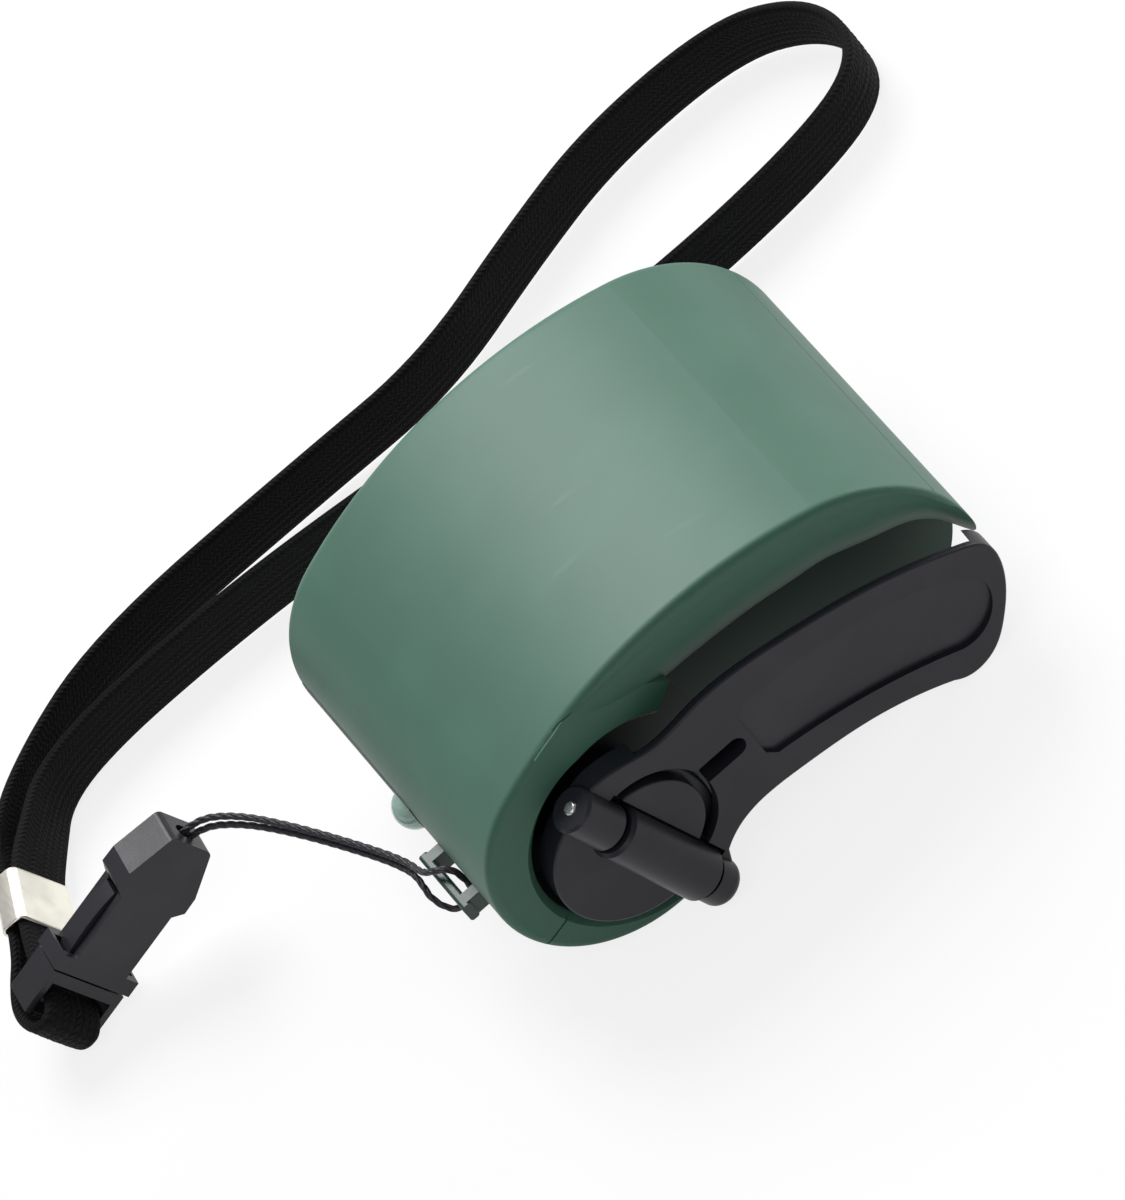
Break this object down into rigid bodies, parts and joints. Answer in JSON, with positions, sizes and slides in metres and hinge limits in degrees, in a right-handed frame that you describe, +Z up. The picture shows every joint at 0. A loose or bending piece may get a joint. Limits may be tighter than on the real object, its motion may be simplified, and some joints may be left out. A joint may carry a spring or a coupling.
{
  "type": "hand crank phone charger",
  "caption": "Pocket generator in a humped housing with a folding side crank, a socket at the hub end and a wrist strap on a release buckle",
  "frame": {"origin": "centre of the housing's and crank's box, on the floor under it", "axes": "+Z up, X along the housing with the hub end at -X, the crank side faces -Y"},
  "size_m": [0.1345, 0.0941, 0.0343],
  "materials": {
    "green_shell": "satin, fine spark texture on the rim",
    "black_plastic": "satin black",
    "panel_plastic": "matt dark grey",
    "steel": "bright steel",
    "brass": "plain bronze",
    "gear_plastic": "natural white moulding",
    "tin": "tinned sheet",
    "copper": "enamelled copper wire",
    "iron": "stacked iron sheets",
    "board_green": "solder resist",
    "clear_green": "clear pale green",
    "braid": "flat woven braid",
    "cord": "thin twisted cord",
    "crimp_metal": "nickel plated sheet",
    "can_metal": "zinc plated can",
    "magnet": "bonded magnet",
    "rubber_black": "sleeved capacitor"
  },
  "bodies": {
    "housing": {"upper_shell": "green_shell", "lower_shell": "green_shell", "port_panel": "panel_plastic", "lanyard_bracket": "green_shell", "shell_screws": "steel", "crank_bush": "brass", "front_gear_plate": "gear_plastic", "rear_gear_plate": "gear_plastic", "gear_posts": "steel", "gear_plate_screws": "steel", "first_axle": "steel", "second_axle": "steel", "generator_can": "can_metal", "generator_cap": "black_plastic", "generator_stator": "iron", "stator_coils": "copper", "circuit_board": "board_green", "usb_shell": "tin", "usb_tongue": "black_plastic", "usb_contacts": "brass", "led": "clear_green", "led_legs": "tin", "capacitor": "rubber_black", "board_chips": "black_plastic", "board_screws": "steel", "generator_leads": "copper", "lanyard_string": "cord", "buckle_socket": "black_plastic"},
    "crank": {"crank_hub": "black_plastic", "crank_shaft": "steel", "shaft_clip": "steel", "drive_gear": "gear_plastic"},
    "arm": {"crank_arm": "black_plastic", "hinge_pin": "steel"},
    "first_wheel": {"first_gear": "gear_plastic"},
    "second_wheel": {"second_gear": "gear_plastic"},
    "rotor": {"generator_rotor": "magnet", "rotor_shaft": "steel", "generator_pinion": "brass"},
    "strap": {"buckle_plug": "black_plastic", "strap_crimp": "crimp_metal", "wrist_strap": "braid"}
  },
  "joints": [
    {"name": "crank_turn", "type": "hinge", "parent": "housing", "child": "crank", "pos_m": [-0.01499, 0, 0.01275], "axis": [0, 1, 0], "continuous": true},
    {"name": "arm_fold", "type": "hinge", "parent": "crank", "child": "arm", "pos_m": [-0.01409, -0.02247, 0.0127], "axis": [0.2689, 0, -0.9632], "range_deg": [0, 180]},
    {"name": "first_gear_turn", "type": "hinge", "parent": "housing", "child": "first_wheel", "pos_m": [-0.00249, 0, 0.01785], "axis": [0, 1, 0], "continuous": true},
    {"name": "second_gear_turn", "type": "hinge", "parent": "housing", "child": "second_wheel", "pos_m": [0.00889, 0, 0.01293], "axis": [0, 1, 0], "continuous": true},
    {"name": "rotor_turn", "type": "hinge", "parent": "housing", "child": "rotor", "pos_m": [0.01984, 0, 0.01875], "axis": [0, 1, 0], "continuous": true},
    {"name": "buckle_release", "type": "slide", "parent": "housing", "child": "strap", "axis": [-0.9284, 0.0779, -0.3634], "range_m": [0, 0.012]}
  ],
  "couplings": [
    {"joint": "first_gear_turn", "follows": "crank_turn", "ratio": -2.8571},
    {"joint": "second_gear_turn", "follows": "crank_turn", "ratio": 9.7959},
    {"joint": "rotor_turn", "follows": "crank_turn", "ratio": -33.586}
  ]
}
